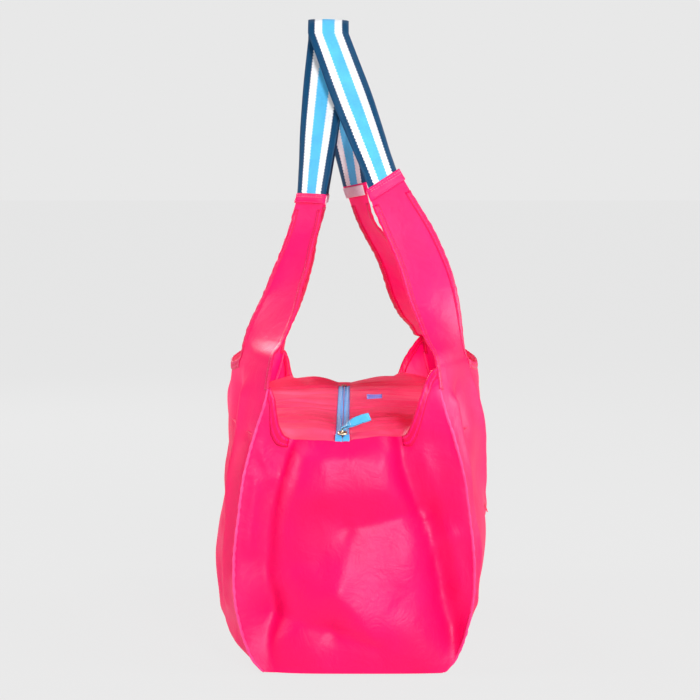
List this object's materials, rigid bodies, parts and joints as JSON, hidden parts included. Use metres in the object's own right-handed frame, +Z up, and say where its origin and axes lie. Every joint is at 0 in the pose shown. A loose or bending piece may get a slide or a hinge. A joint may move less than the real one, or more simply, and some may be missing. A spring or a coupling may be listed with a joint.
{
  "type": "foldable tote bag",
  "caption": "Soft pink foldable tote with two long striped webbing handles on sewn arms, end gussets and a recessed zipped roof with a ribbon pull.",
  "frame": {"origin": "middle of the base, on the floor the bag stands on", "axes": "+X along the bag to its right end, +Y to the back panel, +Z up"},
  "size_m": [0.421, 0.246, 0.5778],
  "materials": {
    "pink_nylon": "thin glossy woven nylon, neon pink",
    "hem_nylon": "nylon folded double and stitched",
    "roof_nylon": "thin woven nylon lit through, salmon pink",
    "zip_tape": "woven polyester tape, blue",
    "zip_coil": "nylon coil, blue",
    "zip_metal": "satin plated metal",
    "pull_ribbon": "folded grosgrain ribbon, sky blue",
    "roof_label": "small folded label, periwinkle blue",
    "side_label": "small folded label",
    "webbing": "striped grosgrain webbing: navy, white, sky, white, navy"
  },
  "bodies": {
    "bag_body": {"front_panel": "pink_nylon", "back_panel": "pink_nylon", "right_gusset": "pink_nylon", "left_gusset": "pink_nylon", "base_panel": "pink_nylon", "front_neck_hem": "hem_nylon", "back_neck_hem": "hem_nylon", "right_neck_hem": "hem_nylon", "left_neck_hem": "hem_nylon", "front_roof": "roof_nylon", "back_roof": "roof_nylon", "left_zip_strip": "roof_nylon", "front_zip_tape": "zip_tape", "back_zip_tape": "zip_tape", "front_zip_coil": "zip_coil", "back_zip_coil": "zip_coil", "right_zip_stop": "zip_metal", "left_zip_stop": "zip_metal", "roof_label": "roof_label", "side_label": "side_label"},
    "front_handle": {"front_webbing": "webbing", "front_right_arm": "pink_nylon", "front_right_cuff": "hem_nylon", "front_left_arm": "pink_nylon", "front_left_cuff": "hem_nylon"},
    "back_handle": {"back_webbing": "webbing", "back_right_arm": "pink_nylon", "back_right_cuff": "hem_nylon", "back_left_arm": "pink_nylon", "back_left_cuff": "hem_nylon"},
    "slider": {"zip_slider": "zip_metal"},
    "pull": {"pull_ribbon": "pull_ribbon"}
  },
  "joints": [
    {"name": "front_handle_swing", "type": "hinge", "parent": "bag_body", "child": "front_handle", "pos_m": [0, -0.103, 0.2755], "axis": [1, 0, 0], "range_deg": [0, 150]},
    {"name": "back_handle_swing", "type": "hinge", "parent": "bag_body", "child": "back_handle", "pos_m": [0, 0.103, 0.2755], "axis": [-1, 0, 0], "range_deg": [0, 150]},
    {"name": "zip_slide", "type": "slide", "parent": "bag_body", "child": "slider", "axis": [-0.9996, 0, 0.0275], "range_m": [0, 0.326]},
    {"name": "pull_swing", "type": "hinge", "parent": "slider", "child": "pull", "pos_m": [0.186, -0.01, 0.21199], "axis": [1, 0, 0], "range_deg": [0, 132]}
  ]
}
